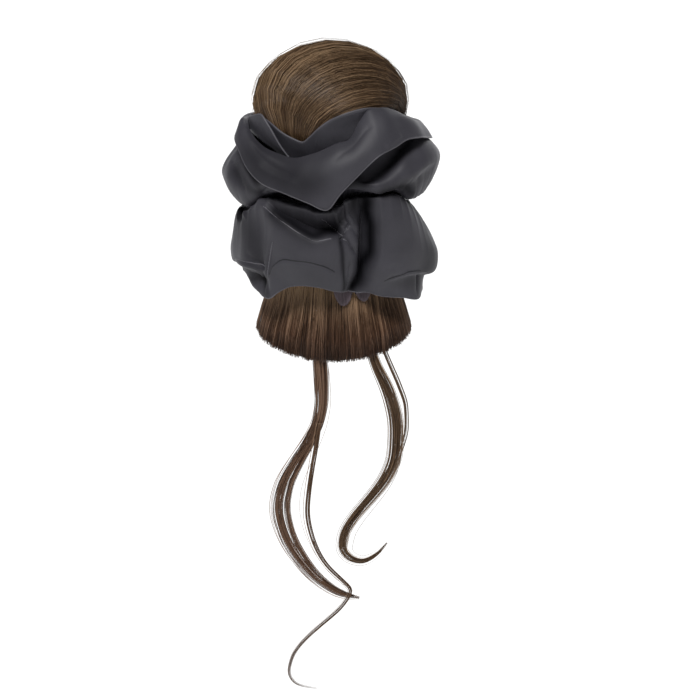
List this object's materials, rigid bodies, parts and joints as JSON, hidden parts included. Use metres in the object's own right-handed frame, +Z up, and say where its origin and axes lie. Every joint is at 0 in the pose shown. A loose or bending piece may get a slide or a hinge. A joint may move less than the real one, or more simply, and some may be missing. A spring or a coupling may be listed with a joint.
{
  "type": "top knot hairpiece",
  "caption": "False top knot: a wound hair bun on a hollow flared hair skirt, with a double satin frill round its neck and loose wavy tendrils.",
  "frame": {"origin": "centre of the skirt's rim, in the plane where it sits on the crown of a head", "axes": "+Z up through the bun, -Y towards the front, where the tendrils hang, +X towards the wearer's left"},
  "size_m": [0.1386, 0.1424, 0.4262],
  "materials": {
    "hair": "smooth brown hair with a soft sheen",
    "satin": "dark charcoal satin",
    "plastic": "matt dark brown"
  },
  "bodies": {
    "root": {"bun": "hair", "hair_base": "hair", "left_tendril": "hair", "left_curl": "hair", "right_tendril": "hair", "right_wisp": "hair", "waist_gathers": "satin", "casing": "satin", "upper_frill": "satin", "collar": "satin", "inner_collar": "satin", "inner_flap": "satin", "lower_frill": "satin", "comb": "plastic"}
  },
  "joints": []
}
